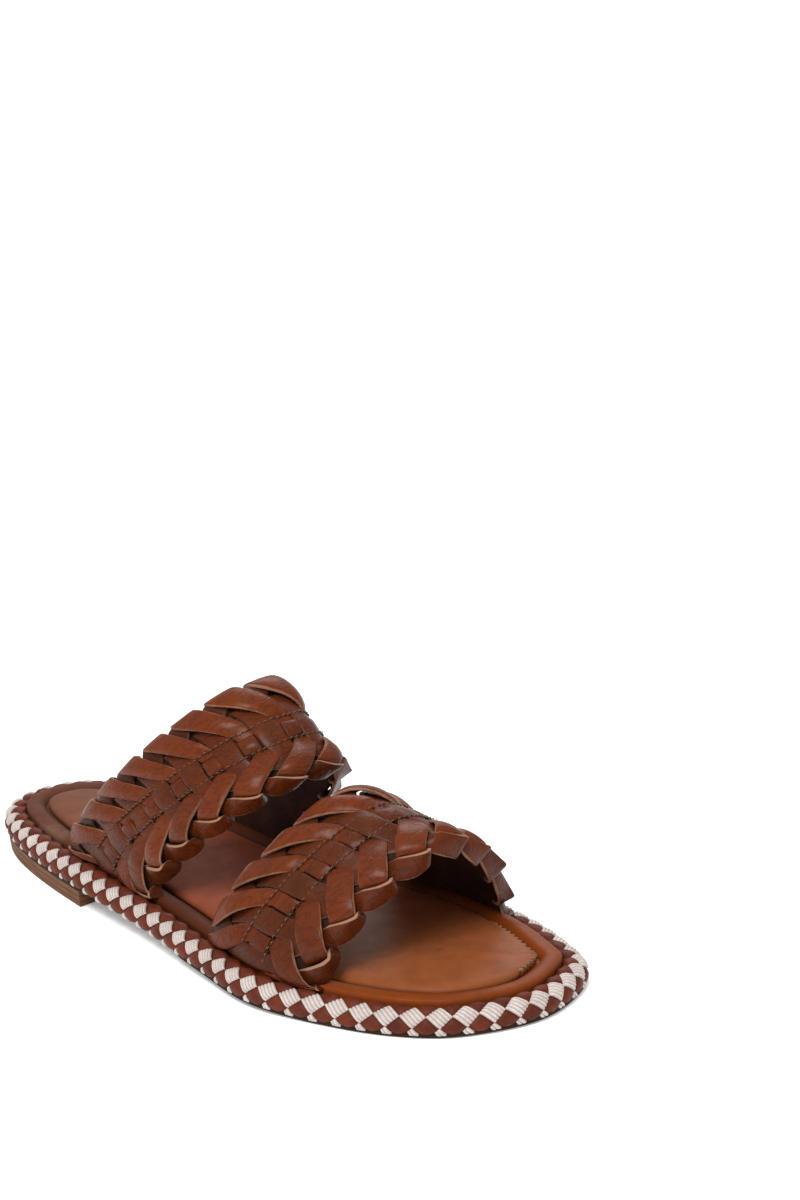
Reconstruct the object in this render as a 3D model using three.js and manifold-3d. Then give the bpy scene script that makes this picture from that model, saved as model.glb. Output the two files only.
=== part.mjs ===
// A woven leather slide sandal for the right foot: outsole, heel, braided edge trim,
// leather covered insole, padded footbed and two woven straps.
// Millimetres, +Z up, toe towards -Y, the wearer's left (inner) side towards +X.
import * as THREE from "three";
import Module from "manifold-3d";

const wasm = await Module();
wasm.setup();

// Sole sizes
const LENGTH = 249.2;
const BALL_WIDTH = 95.9;
const HEEL_LIFT = 6;
const TOE_SPRING = 0.3;
const OUTSOLE_THICKNESS = 2.2;
const WAIST_BEVEL = 2.6;
const OUTSOLE_BEVEL = 0.5;
const HEEL_INSET = 0.4;
const HEEL_TAPER = 0.6;
const CLEARANCE = 0.3;

// Edge trim sizes
const TRIM_WIDTH = 7.0;
const TRIM_HEIGHT = 5.2;
const TRIM_PROUD = 0.3;
const TRIM_RELIEF = 0.45;
const TRIM_REPEAT = 8.2;

// Insole and footbed sizes
const RIM_WIDTH = 6.8;
const RIM_HEIGHT = 7.0;
const RIM_SHOULDER = 5.7;
const INSOLE_FLOOR = 4.3;
const PAD_MARGIN = 0.8;
const PAD_EDGE = 2.4;
const PAD_CROWN = 1.6;
const PAD_WALL = 1.0;
const PAD_SHOULDER = 1.6;
const PAD_SHOULDER_DROP = 0.4;
const PAD_CROWN_START = 4.5;
const RIM_ROUNDING = 1.0;
const RIM_INNER_DROP = 0.8;

// Strap sizes
const STRAP_WIDTH = 38;
const STRAP_WALL = 2.2;
const WALL_MARGIN = 1.6;
const WEAVE_SHIFT = 1.85;
const STRAND_PITCH = 13.4;
const STRAND_SINK = 0.5;
const FLAP_RISE = 1.1;
const STRAND_TOP = 1.4;
const STRAND_CAMBER = 0.3;
const PATCH_RISE = 0.6;
const LEAN_START = 12;
const REAR_STRAP_HEIGHT = 52.3;
const FRONT_STRAP_HEIGHT = 40;

// Half widths of the outsole, as shares of the ball width, at shares of the length from the heel
const OUTLINE = [
  { name: "heel back", along: 0.005, lateral: 0, medial: 0 },
  { name: "heel corner", along: 0.025, lateral: 0.15, medial: 0.17 },
  { name: "heel side", along: 0.08, lateral: 0.247, medial: 0.274 },
  { name: "heel", along: 0.18, lateral: 0.324, medial: 0.340 },
  { name: "waist start", along: 0.32, lateral: 0.388, medial: 0.338 },
  { name: "waist", along: 0.46, lateral: 0.425, medial: 0.343 },
  { name: "waist end", along: 0.6, lateral: 0.481, medial: 0.425 },
  { name: "ball", along: 0.71, lateral: 0.515, medial: 0.480 },
  { name: "toes", along: 0.81, lateral: 0.453, medial: 0.469 },
  { name: "toe side", along: 0.9, lateral: 0.359, medial: 0.406 },
  { name: "toe corner", along: 0.965, lateral: 0.212, medial: 0.311 },
  { name: "toe", along: 1.0, lateral: -0.046, medial: 0.046 },
];

// The edge trim's section from its lower inner corner: shares of its width outwards and of its height
const TRIM_SECTION = [
  { name: "lower inner corner", across: 0.0, up: 0.0, raised: false },
  { name: "foot", across: 0.85, up: 0.0, raised: false },
  { name: "lower strands", across: 1.0, up: 0.3, raised: true },
  { name: "white strands", across: 0.68, up: 0.76, raised: true },
  { name: "upper strands", across: 0.26, up: 0.97, raised: true },
  { name: "upper inner corner", across: 0.0, up: 0.88, raised: false },
];

// Shares of the length from the heel where the underside changes
const SOLE_STATIONS = { heelBreast: 0.303, waistEnd: 0.56, shankEnd: 0.8, springStart: 0.9 };

// Each strap row is one edge or the middle: its foot along the sole, its top as a share of the
// strap's height, and how far it leans to the toe
const REAR_ROWS = [
  { name: "heel edge", foot: 0.244, top: 1.2, lean: 1.15 },
  { name: "middle", foot: 0.350, top: 1.0, lean: 1.26 },
  { name: "toe edge", foot: 0.452, top: 0.81, lean: 1.18 },
];
const FRONT_ROWS = [
  { name: "heel edge", foot: 0.598, top: 1.04, lean: 0.64 },
  { name: "middle", foot: 0.701, top: 1.0, lean: 0.55 },
  { name: "toe edge", foot: 0.790, top: 0.88, lean: 0.47 },
];

// Each strap's arch: how far its top lies to the inner side and how full its sides are, 2 being an ellipse
const REAR_ARCH = { apexShift: 5.5, lateralFullness: 2.23, medialFullness: 2.89 };
const FRONT_ARCH = { apexShift: 0.8, lateralFullness: 1.48, medialFullness: 1.58 };

// Corners of one repeat of the weave, in shares of the strand pitch along the strap (up from the
// outer side) and of half the strap's width across it (towards the toe)
const TOE_STRAND = {
  inner: [
    { up: 0.02, across: 0.16 },
    { up: 0.42, across: 0.3 },
  ],
  outer: [
    { up: -0.83, across: 0.82 },
    { up: -0.4, across: 1.06 },
  ],
  rise: [0.55, 1.3, 1.45, 1.15],
};
const HEEL_STRAND = {
  inner: [
    { up: 0.14, across: -0.34 },
    { up: -0.2, across: -0.22 },
  ],
  outer: [
    { up: -0.52, across: -0.91 },
    { up: -1.2, across: -0.88 },
  ],
  rise: [0.55, 1.25, 1.4, 1.0],
};
const FLAP = [
  { up: -0.8, across: 0.79 },
  { up: -1.18, across: 1.09 },
  { up: -0.38, across: 1.1 },
];
const CENTRE_PATCH = [
  { up: -0.78, across: -0.24 },
  { up: -0.78, across: 0.22 },
  { up: -0.22, across: 0.22 },
  { up: -0.22, across: -0.24 },
];

// Numbers of facets
const OUTLINE_SAMPLES = 720;
const STATIONS = 48;
const CROWN_STEPS = 4;
const ARC_SAMPLES = 120;
const WALL_STEPS = 30;
const ARC_END = 0.001;
const NORMAL_STEP = 0.8;
const WALL_ROWS = 5;
const MERGE_SIZE = 0.02;

const stationY = (along) => LENGTH * (0.5 - along);

// The outsole's edge as a smooth closed curve, from the heel round the lateral side to the toe
function outlinePoints() {
  const lateral = OUTLINE.map((row) => new THREE.Vector3(-row.lateral * BALL_WIDTH, stationY(row.along), 0));
  const medial = OUTLINE.slice(1, -1)
    .reverse()
    .map((row) => new THREE.Vector3(row.medial * BALL_WIDTH, stationY(row.along), 0));
  const toe = lateral[lateral.length - 1];
  toe.x = OUTLINE[OUTLINE.length - 1].medial * BALL_WIDTH;
  const curve = new THREE.CatmullRomCurve3([...lateral, ...medial], true, "catmullrom", 0.5);
  return curve.getSpacedPoints(OUTLINE_SAMPLES).slice(0, OUTLINE_SAMPLES);
}

const EDGE = outlinePoints();

// The unit vector that points out of the sole at a sample of its edge
function outward(index) {
  const count = EDGE.length;
  const before = EDGE[(index + count * 2 - 1) % count];
  const after = EDGE[(index + count + 1) % count];
  const along = new THREE.Vector3().subVectors(after, before).normalize();
  return new THREE.Vector3(along.y, -along.x, 0);
}

// The edge moved inwards by a distance
function insetEdge(distance) {
  return EDGE.map((point, index) => point.clone().addScaledVector(outward(index), -distance));
}

const LOWEST_INDEX = EDGE.reduce((best, point, index) => (point.y < EDGE[best].y ? index : best), 0);
const HIGHEST_INDEX = EDGE.reduce((best, point, index) => (point.y > EDGE[best].y ? index : best), 0);

// The fractional sample of the edge at a height y, on the lateral or medial side
function edgeSample(y, medialSide) {
  const count = EDGE.length;
  const step = medialSide ? -1 : 1;
  const total = medialSide
    ? (HIGHEST_INDEX - LOWEST_INDEX + count) % count
    : (LOWEST_INDEX - HIGHEST_INDEX + count) % count;
  for (let i = 0; i < total; i++) {
    const a = EDGE[(HIGHEST_INDEX + step * i + count * 2) % count];
    const b = EDGE[(HIGHEST_INDEX + step * (i + 1) + count * 2) % count];
    if (a.y >= y && b.y <= y) return HIGHEST_INDEX + step * (i + (a.y - y) / Math.max(a.y - b.y, 1e-9));
  }
  return y > 0 ? HIGHEST_INDEX : LOWEST_INDEX;
}

// Where a line across the sole at y meets the edge moved inwards by a distance
function insetX(insetCurve, y, medialSide) {
  let best = null;
  for (let i = 0; i < insetCurve.length; i++) {
    const a = insetCurve[i];
    const b = insetCurve[(i + 1) % insetCurve.length];
    if ((a.y - y) * (b.y - y) > 0 || a.y === b.y) continue;
    const x = a.x + ((b.x - a.x) * (y - a.y)) / (b.y - a.y);
    if (best === null || (medialSide ? x > best : x < best)) best = x;
  }
  return best;
}

const smooth = (t) => t * t * (3 - 2 * t);
const clamp = (t) => Math.min(Math.max(t, 0), 1);

// Height of the outsole's underside above the floor
function under(y) {
  const along = 0.5 - y / LENGTH;
  const { heelBreast, shankEnd, springStart } = SOLE_STATIONS;
  const shank = clamp((along - heelBreast) / (shankEnd - heelBreast));
  const spring = clamp((along - springStart) / (1 - springStart));
  return HEEL_LIFT * (1 - shank) + TOE_SPRING * spring * spring;
}

// Outline samples paired across the sole: the heel tip, the lateral side, the toe tip, the medial side
function stationSamples() {
  const lateral = [];
  const medial = [];
  const middle = (EDGE[HIGHEST_INDEX].y + EDGE[LOWEST_INDEX].y) / 2;
  const half = (EDGE[HIGHEST_INDEX].y - EDGE[LOWEST_INDEX].y) / 2;
  for (let i = 1; i < STATIONS; i++) {
    const y = middle + half * Math.cos((Math.PI * i) / STATIONS);
    lateral.push(edgeSample(y, false));
    medial.push(edgeSample(y, true));
  }
  return [HIGHEST_INDEX, ...lateral, LOWEST_INDEX, ...medial.reverse()];
}

const SAMPLES = stationSamples();

function sampled(curve, sample) {
  const count = curve.length;
  const low = Math.floor(sample);
  const a = curve[((low % count) + count) % count];
  const b = curve[(((low + 1) % count) + count) % count];
  return new THREE.Vector3().lerpVectors(a, b, sample - low);
}

// How far the outsole is cut back under the waist, where its edge is bevelled
function waistInset(y) {
  const along = 0.5 - y / LENGTH;
  const { heelBreast, waistEnd } = SOLE_STATIONS;
  const share = clamp((along - heelBreast) / (waistEnd - heelBreast));
  return WAIST_BEVEL * smooth(clamp(4 * share * (1 - share)));
}

// A ring of points round the sole at an inset from its edge, at a height above the underside
function ring(inset, height, bevelled = false) {
  const curve = insetEdge(inset);
  return SAMPLES.map((sample) => {
    const point = sampled(curve, sample);
    if (bevelled) point.addScaledVector(outward(Math.round(sample) % EDGE.length), -waistInset(point.y));
    point.z = under(point.y) + height;
    return point;
  });
}

// Collects points and triangles of one closed body
class Body {
  constructor() {
    this.points = [];
    this.faces = [];
  }

  add(point) {
    this.points.push(point.x, point.y, point.z);
    return this.points.length / 3 - 1;
  }

  addAll(points) {
    return points.map((point) => this.add(point));
  }

  quad(a, b, c, d) {
    this.faces.push(a, b, c, a, c, d);
  }

  // Joins two closed rows of the same number of points
  band(first, second) {
    first.forEach((_, i) => {
      const next = (i + 1) % first.length;
      this.quad(first[i], first[next], second[next], second[i]);
    });
  }

  // Fills a ring from side to side, raised towards the middle by a crown
  cap(loop, crown, flip) {
    const count = loop.length;
    const half = count / 2;
    const rows = [[loop[0]]];
    for (let i = 1; i < half; i++) {
      const left = this.pointAt(loop[i]);
      const right = this.pointAt(loop[count - i]);
      const row = [loop[i]];
      const end = Math.min(i, half - i) / half;
      const rise = crown * Math.sqrt(clamp(end * 4));
      for (let k = 1; crown && k < CROWN_STEPS; k++) {
        const across = k / CROWN_STEPS;
        const point = new THREE.Vector3().lerpVectors(left, right, across);
        point.z += rise * 4 * across * (1 - across);
        row.push(this.add(point));
      }
      row.push(loop[count - i]);
      rows.push(row);
    }
    rows.push([loop[half]]);
    for (let i = 0; i + 1 < rows.length; i++) this.strip(rows[i], rows[i + 1], flip);
  }

  pointAt(index) {
    return new THREE.Vector3().fromArray(this.points, index * 3);
  }

  // Joins two open rows, one of which may be a single point
  strip(first, second, flip) {
    const steps = Math.max(first.length, second.length) - 1;
    for (let k = 0; k < steps; k++) {
      const a = first[Math.min(k, first.length - 1)];
      const b = first[Math.min(k + 1, first.length - 1)];
      const c = second[Math.min(k + 1, second.length - 1)];
      const d = second[Math.min(k, second.length - 1)];
      const corners = [a, b, c, d].filter((value, i, all) => all.indexOf(value) === i);
      if (flip) corners.reverse();
      this.faces.push(corners[0], corners[1], corners[2]);
      if (corners.length === 4) this.faces.push(corners[0], corners[2], corners[3]);
    }
  }

  solid() {
    const points = this.points;
    const faces = this.faces;
    let volume = 0;
    for (let i = 0; i < faces.length; i += 3) {
      const [a, b, c] = [0, 1, 2].map((k) => new THREE.Vector3().fromArray(points, faces[i + k] * 3));
      volume += a.dot(b.cross(c));
    }
    if (volume < 0) faces.reverse();
    const mesh = new wasm.Mesh({
      numProp: 3,
      vertProperties: new Float32Array(points),
      triVerts: new Uint32Array(faces),
    });
    return new wasm.Manifold(mesh);
  }
}

// A body bounded by a list of rings, filled from side to side at its first and last ring
function stackedRings(rings, bottomCrown, topCrown) {
  const body = new Body();
  const loops = rings.map((points) => body.addAll(points));
  for (let i = 0; i + 1 < loops.length; i++) body.band(loops[i], loops[i + 1]);
  body.cap(loops[0], bottomCrown, false);
  body.cap(loops[loops.length - 1], topCrown, true);
  return body.solid();
}

const TRIM_BOTTOM = OUTSOLE_THICKNESS + CLEARANCE;
const TRIM_INNER = TRIM_WIDTH - TRIM_PROUD;
const INSOLE_EDGE = TRIM_INNER + CLEARANCE;
const INSOLE_BOTTOM = TRIM_BOTTOM;
const PAD_BOTTOM = INSOLE_BOTTOM + INSOLE_FLOOR + CLEARANCE;
const PAD_INSET = INSOLE_EDGE + RIM_WIDTH + PAD_MARGIN;
const STRAP_INSET = INSOLE_EDGE + STRAP_WALL / 2;
const STRAP_FOOT = INSOLE_BOTTOM + RIM_SHOULDER;
const SLOT_DEPTH = RIM_SHOULDER;
const STRAND_START = RIM_HEIGHT - RIM_SHOULDER + 2 * CLEARANCE;

// The leather outsole, a thin sheet bent over the heel, the shank and the toe spring
function outsoleSolid() {
  const rings = [
    ring(OUTSOLE_BEVEL, 0, true),
    ring(0, OUTSOLE_BEVEL, true),
    ring(0, OUTSOLE_THICKNESS, true),
  ];
  return stackedRings(rings, 0, 0);
}

// The stacked heel under the outsole, with a straight breast
function heelSolid() {
  const layer = (inset, height) => {
    const curve = insetEdge(inset);
    return SAMPLES.map((sample) => sampled(curve, sample).setZ(height));
  };
  const rings = [layer(HEEL_INSET + HEEL_TAPER, 0), layer(HEEL_INSET, HEEL_LIFT - CLEARANCE)];
  return stackedRings(rings, 0, 0).trimByPlane([0, 1, 0], stationY(SOLE_STATIONS.heelBreast) + HEEL_INSET);
}

// The round braid laid along the edge, with the diamonds of its strands raised
function trimSolid() {
  const length = EDGE.reduce((sum, point, i) => sum + point.distanceTo(EDGE[(i + 1) % EDGE.length]), 0);
  const steps = Math.round(length / TRIM_REPEAT) * 2;
  const body = new Body();
  const loops = [];
  for (let i = 0; i < steps; i++) {
    const sample = (i / steps) * EDGE.length;
    const point = sampled(EDGE, sample);
    const normal = outward(Math.round(sample) % EDGE.length);
    const section = TRIM_SECTION.map(({ across, up, raised }, row) => {
      const sunk = raised && (i + row) % 2 === 1 ? TRIM_RELIEF : 0;
      const reach = across * (TRIM_WIDTH - sunk);
      const placed = point.clone().addScaledVector(normal, reach - TRIM_INNER);
      placed.z = under(point.y) + TRIM_BOTTOM + up * (TRIM_HEIGHT - sunk);
      return placed;
    });
    loops.push(body.addAll(section));
  }
  loops.forEach((loop, i) => body.band(loop, loops[(i + 1) % loops.length]));
  return body.solid();
}

// A strap's surface: arcs over the foot, one for each place across the strap
class StrapShape {
  constructor(rows, height, { apexShift, lateralFullness, medialFullness }) {
    this.rows = rows;
    this.height = height;
    this.apexShift = apexShift;
    this.fullness = [lateralFullness, medialFullness];
    this.footCurve = insetEdge(STRAP_INSET);
    this.arcs = new Map();
  }

  // A row value at a place across the strap, on the curve through the three rows
  value(key, across) {
    const t = across / (STRAP_WIDTH / 2);
    const [a, b, c] = this.rows.map((row) => row[key]);
    return b + ((c - a) / 2) * t + ((c + a - 2 * b) / 2) * t * t;
  }

  arc(across) {
    const key = across.toFixed(3);
    if (!this.arcs.has(key)) this.arcs.set(key, this.makeArc(across));
    return this.arcs.get(key);
  }

  makeArc(across) {
    const footY = stationY(this.value("foot", across));
    const height = this.height * this.value("top", across);
    const lean = this.value("lean", across);
    const left = insetX(this.footCurve, footY, false);
    const right = insetX(this.footCurve, footY, true);
    const apexX = (left + right) / 2 + this.apexShift;
    const point = (angle) => {
      const medialSide = angle > Math.PI / 2;
      const power = 2 / this.fullness[medialSide ? 1 : 0];
      const reach = medialSide ? right - apexX : apexX - left;
      const up = height * Math.abs(Math.sin(angle)) ** power;
      const side = reach * Math.abs(Math.cos(angle)) ** power;
      const y = footY - (lean * up * up) / (up + LEAN_START);
      return new THREE.Vector3(apexX + (medialSide ? side : -side), y, STRAP_FOOT + up + under(y));
    };
    const points = [];
    for (let i = 0; i <= ARC_SAMPLES; i++) points.push(point(Math.PI * THREE.MathUtils.lerp(ARC_END, 1 - ARC_END, i / ARC_SAMPLES)));
    const down = (end) => new THREE.Vector3(end.x, end.y, end.z - SLOT_DEPTH);
    points.unshift(down(points[0]));
    points.push(down(points[points.length - 1]));
    const lengths = [0];
    for (let i = 1; i < points.length; i++) lengths.push(lengths[i - 1] + points[i].distanceTo(points[i - 1]));
    const top = points.reduce((best, p, i) => (p.z > points[best].z ? i : best), 0);
    const zero = lengths[Math.floor((points.length - 1) / 2)];
    return { points, lengths, zero, top, start: lengths[1], end: lengths[points.length - 2] };
  }

  // How far the strap reaches along its length, from its top to each foot and into its slot
  reach(across) {
    const { lengths, zero, start, end } = this.arc(across);
    return {
      low: start - zero,
      high: end - zero,
      slotLow: -zero,
      slotHigh: lengths[lengths.length - 1] - zero,
    };
  }

  point(up, across) {
    const { points, lengths, zero } = this.arc(across);
    const target = up + zero;
    let i = 1;
    while (i < lengths.length - 1 && lengths[i] < target) i++;
    const share = (target - lengths[i - 1]) / (lengths[i] - lengths[i - 1]);
    return new THREE.Vector3().lerpVectors(points[i - 1], points[i], share);
  }

  // A point at a height above the strap's middle surface
  at(up, across, height) {
    const along = this.point(up + NORMAL_STEP, across).sub(this.point(up - NORMAL_STEP, across));
    const over = this.point(up, across + NORMAL_STEP).sub(this.point(up, across - NORMAL_STEP));
    const normal = along.cross(over).normalize();
    return this.point(up, across).addScaledVector(normal, -height);
  }
}

// The strap's wall, or with a clearance the space that it needs in its slots
function wallSolid(shape, clearance, depth) {
  const half = STRAP_WIDTH / 2 - WALL_MARGIN + clearance;
  const thick = STRAP_WALL / 2 + clearance;
  const body = new Body();
  const layers = [thick, -thick].map((height) => {
    const rows = [];
    for (let j = 0; j <= WALL_ROWS; j++) {
      const across = -half + (2 * half * j) / WALL_ROWS;
      const { slotLow, slotHigh } = shape.reach(across);
      const row = [];
      for (let i = 0; i <= WALL_STEPS; i++) {
        const up = slotLow + ((slotHigh - slotLow) * i) / WALL_STEPS;
        row.push(shape.at(up, across, height));
      }
      if (depth) [row[0], row[WALL_STEPS]].forEach((end) => (end.z -= depth));
      rows.push(body.addAll(row));
    }
    return rows;
  });
  const [outer, inner] = layers;
  for (let j = 0; j < WALL_ROWS; j++) {
    body.strip(outer[j], outer[j + 1], false);
    body.strip(inner[j], inner[j + 1], true);
    for (const end of [0, WALL_STEPS]) {
      const flip = end === 0;
      body.strip([outer[j][end], outer[j + 1][end]], [inner[j][end], inner[j + 1][end]], !flip);
    }
  }
  body.strip(outer[0], inner[0], true);
  body.strip(outer[WALL_ROWS], inner[WALL_ROWS], false);
  return body.solid();
}

// A flat piece of leather on the strap, between an inner and an outer end
function strandSolid(shape, place, inner, outer, rises) {
  const body = new Body();
  const bottom = STRAP_WALL / 2 - STRAND_SINK;
  const rows = rises.map((rise, i) => {
    const share = i / (rises.length - 1);
    const corner = (k) => ({
      up: THREE.MathUtils.lerp(inner[k].up, outer[k].up, share),
      across: THREE.MathUtils.lerp(inner[k].across, outer[k].across, share),
    });
    const top = STRAP_WALL / 2 + rise * STRAND_TOP;
    const [a, b] = [corner(0), corner(1)];
    const middle = { up: (a.up + b.up) / 2, across: (a.across + b.across) / 2 };
    return body.addAll([
      place(a, bottom),
      place(a, top),
      place(middle, top + STRAND_CAMBER),
      place(b, top),
      place(b, bottom),
    ]);
  });
  for (let i = 0; i + 1 < rows.length; i++) body.band(rows[i], rows[i + 1]);
  const first = rows[0];
  const last = rows[rows.length - 1];
  for (let k = 1; k + 1 < first.length; k++) {
    body.faces.push(first[0], first[k + 1], first[k]);
    body.faces.push(last[0], last[k], last[k + 1]);
  }
  return body.solid();
}

// A flat plate with three or four corners on the strap
function plateSolid(place, corners, low, high) {
  const body = new Body();
  const lower = body.addAll(corners.map((corner) => place(corner, low)));
  const upper = body.addAll(corners.map((corner) => place(corner, high)));
  body.band(lower, upper);
  for (let k = 1; k + 1 < corners.length; k++) {
    body.faces.push(lower[0], lower[k + 1], lower[k]);
    body.faces.push(upper[0], upper[k], upper[k + 1]);
  }
  return body.solid();
}

// One strap: its wall with the strands of the weave raised on it
function strapSolid(shape) {
  const pieces = [wallSolid(shape, 0, 0)];
  const middle = shape.reach(0);
  const first = Math.ceil(middle.low / STRAND_PITCH);
  const last = Math.floor(middle.high / STRAND_PITCH) + 1;
  for (let k = first; k <= last; k++) {
    const spot = (corner) => ({
      up: (k + corner.up) * STRAND_PITCH,
      across: (corner.across * STRAP_WIDTH) / 2 - WEAVE_SHIFT * (1 - Math.abs(corner.across)),
    });
    const place = (corner, height) => {
      const { up, across } = spot(corner);
      const { low, high } = shape.reach(across);
      return shape.at(THREE.MathUtils.clamp(up, low + STRAND_START, high - STRAND_START), across, height);
    };
    const outside = (corners) => {
      const spots = corners.map(spot);
      const free = spots.filter(({ up, across }) => {
        const { low, high } = shape.reach(across);
        return up > low + STRAND_START && up < high - STRAND_START;
      });
      return free.length < corners.length;
    };
    for (const strand of [TOE_STRAND, HEEL_STRAND]) {
      if (outside([...strand.inner, ...strand.outer])) continue;
      pieces.push(strandSolid(shape, place, strand.inner, strand.outer, strand.rise));
    }
    const wallTop = STRAP_WALL / 2;
    if (!outside(FLAP)) pieces.push(plateSolid(place, FLAP, -wallTop, wallTop + FLAP_RISE));
    if (!outside(CENTRE_PATCH)) {
      pieces.push(plateSolid(place, CENTRE_PATCH, wallTop - STRAND_SINK, wallTop + PATCH_RISE));
    }
  }
  return wasm.Manifold.union(pieces).simplify(MERGE_SIZE);
}

const rearShape = new StrapShape(REAR_ROWS, REAR_STRAP_HEIGHT, REAR_ARCH);
const frontShape = new StrapShape(FRONT_ROWS, FRONT_STRAP_HEIGHT, FRONT_ARCH);

// The largest of a solid's separate bodies
function largest(solid) {
  return solid.decompose().reduce((best, piece) => (piece.volume() > best.volume() ? piece : best));
}

// The insole board with its raised border, notched where the straps go down beside it
function insoleSolid() {
  const inner = INSOLE_EDGE + RIM_WIDTH;
  const profile = [
    { inset: INSOLE_EDGE, height: 0 },
    { inset: INSOLE_EDGE, height: RIM_SHOULDER },
    { inset: INSOLE_EDGE + RIM_WIDTH * 0.16, height: RIM_SHOULDER + RIM_ROUNDING },
    { inset: INSOLE_EDGE + RIM_WIDTH * 0.45, height: RIM_HEIGHT },
    { inset: INSOLE_EDGE + RIM_WIDTH * 0.8, height: RIM_HEIGHT - RIM_INNER_DROP },
    { inset: inner, height: INSOLE_FLOOR },
  ];
  const rings = profile.map(({ inset, height }) => ring(inset, INSOLE_BOTTOM + height));
  let board = stackedRings(rings, 0, 0);
  for (const shape of [rearShape, frontShape]) board = board.subtract(wallSolid(shape, CLEARANCE, CLEARANCE * 4));
  return largest(board.simplify(MERGE_SIZE));
}

// The padded footbed inside the border
function footbedSolid() {
  const top = PAD_BOTTOM + PAD_EDGE;
  const rings = [
    ring(PAD_INSET, PAD_BOTTOM),
    ring(PAD_INSET, PAD_BOTTOM + PAD_WALL),
    ring(PAD_INSET + PAD_SHOULDER, top - PAD_SHOULDER_DROP),
    ring(PAD_INSET + PAD_CROWN_START, top),
  ];
  return stackedRings(rings, 0, PAD_CROWN);
}

function meshOf(name, solid, material) {
  const { vertProperties, triVerts, numProp } = solid.getMesh();
  const positions = new Float32Array((vertProperties.length / numProp) * 3);
  for (let i = 0; i < positions.length / 3; i++) {
    positions.set(vertProperties.subarray(i * numProp, i * numProp + 3), i * 3);
  }
  const geometry = new THREE.BufferGeometry();
  geometry.setAttribute("position", new THREE.BufferAttribute(positions, 3));
  geometry.setIndex(new THREE.BufferAttribute(new Uint32Array(triVerts), 1));
  const mesh = new THREE.Mesh(geometry, material);
  mesh.name = name;
  return mesh;
}

const leather = new THREE.MeshStandardMaterial({ color: 0x8a4a2a, roughness: 0.55, metalness: 0 });
const lining = new THREE.MeshStandardMaterial({ color: 0x7f4428, roughness: 0.5, metalness: 0 });
const braid = new THREE.MeshStandardMaterial({ color: 0xb9a695, roughness: 0.8, metalness: 0 });
const sole = new THREE.MeshStandardMaterial({ color: 0x4a3028, roughness: 0.6, metalness: 0 });
const stack = new THREE.MeshStandardMaterial({ color: 0x7a5c42, roughness: 0.65, metalness: 0 });

const sandal = new THREE.Group();
sandal.add(meshOf("outsole", outsoleSolid(), sole));
sandal.add(meshOf("heel", heelSolid(), stack));
sandal.add(meshOf("edge_braid", trimSolid(), braid));
sandal.add(meshOf("insole", insoleSolid(), lining));
sandal.add(meshOf("footbed", footbedSolid(), lining));
sandal.add(meshOf("rear_strap", strapSolid(rearShape), leather));
sandal.add(meshOf("front_strap", strapSolid(frontShape), leather));

// The origin lies on the floor below the middle of the sandal's box
const box = new THREE.Box3().setFromObject(sandal);
const centre = box.getCenter(new THREE.Vector3());
sandal.position.set(-centre.x, -centre.y, -box.min.z);

export default sandal;
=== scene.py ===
import math

import bpy
import numpy as np
from mathutils import Matrix, Vector


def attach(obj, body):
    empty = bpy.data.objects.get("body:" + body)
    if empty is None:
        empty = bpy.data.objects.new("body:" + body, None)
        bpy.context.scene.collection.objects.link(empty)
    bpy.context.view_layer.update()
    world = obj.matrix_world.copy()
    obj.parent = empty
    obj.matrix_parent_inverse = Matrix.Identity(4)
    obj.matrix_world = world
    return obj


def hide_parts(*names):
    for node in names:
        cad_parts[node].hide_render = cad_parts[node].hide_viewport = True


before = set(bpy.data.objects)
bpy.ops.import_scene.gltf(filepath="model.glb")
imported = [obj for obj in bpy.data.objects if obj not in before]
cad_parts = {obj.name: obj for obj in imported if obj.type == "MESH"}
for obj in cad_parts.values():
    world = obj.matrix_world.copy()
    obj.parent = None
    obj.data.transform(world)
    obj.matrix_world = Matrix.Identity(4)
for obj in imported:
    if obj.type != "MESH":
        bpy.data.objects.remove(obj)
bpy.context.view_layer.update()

bpy.ops.object.select_all(action="DESELECT")
scene = bpy.context.scene
MM = 0.001

# The camera
# It stands a metre away, low, outside the toe of this right sandal, and is turned a little.
CAMERA_AZIMUTH = math.radians(-41.1)
CAMERA_HEIGHT_ANGLE = math.radians(16.6)
CAMERA_ROLL = math.radians(-2.7)
CAMERA_DISTANCE = 1018.5
CAMERA_AIM = (-49.7, -98.1)
CAMERA_OFFSET = Vector((1.54, 2.421, 0))
CAMERA_LENS = 95.5

turn, rise = CAMERA_AZIMUTH, CAMERA_HEIGHT_ANGLE
back = Vector((math.sin(turn) * math.cos(rise), -math.cos(turn) * math.cos(rise), math.sin(rise)))
side = Vector((math.cos(turn), math.sin(turn), 0))
top = back.cross(side)
place = back * CAMERA_DISTANCE - side * CAMERA_AIM[0] - top * CAMERA_AIM[1] + CAMERA_OFFSET
rolled_side = side * math.cos(CAMERA_ROLL) + top * math.sin(CAMERA_ROLL)
rolled_top = -side * math.sin(CAMERA_ROLL) + top * math.cos(CAMERA_ROLL)
lens_data = bpy.data.cameras.new("camera")
lens_data.lens = CAMERA_LENS
lens_data.sensor_fit = "VERTICAL"
lens_data.sensor_height = 36
lens_data.clip_start = 0.01
camera = bpy.data.objects.new("camera", lens_data)
scene.collection.objects.link(camera)
axes = Matrix((rolled_side, rolled_top, back)).transposed()
camera.matrix_world = Matrix.Translation(place * MM) @ axes.to_4x4()
scene.camera = camera
scene.view_settings.view_transform = "Standard"

# The floor and the lights
# A wide white table, one large soft window light from the left and above, and a weak one behind.


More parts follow.
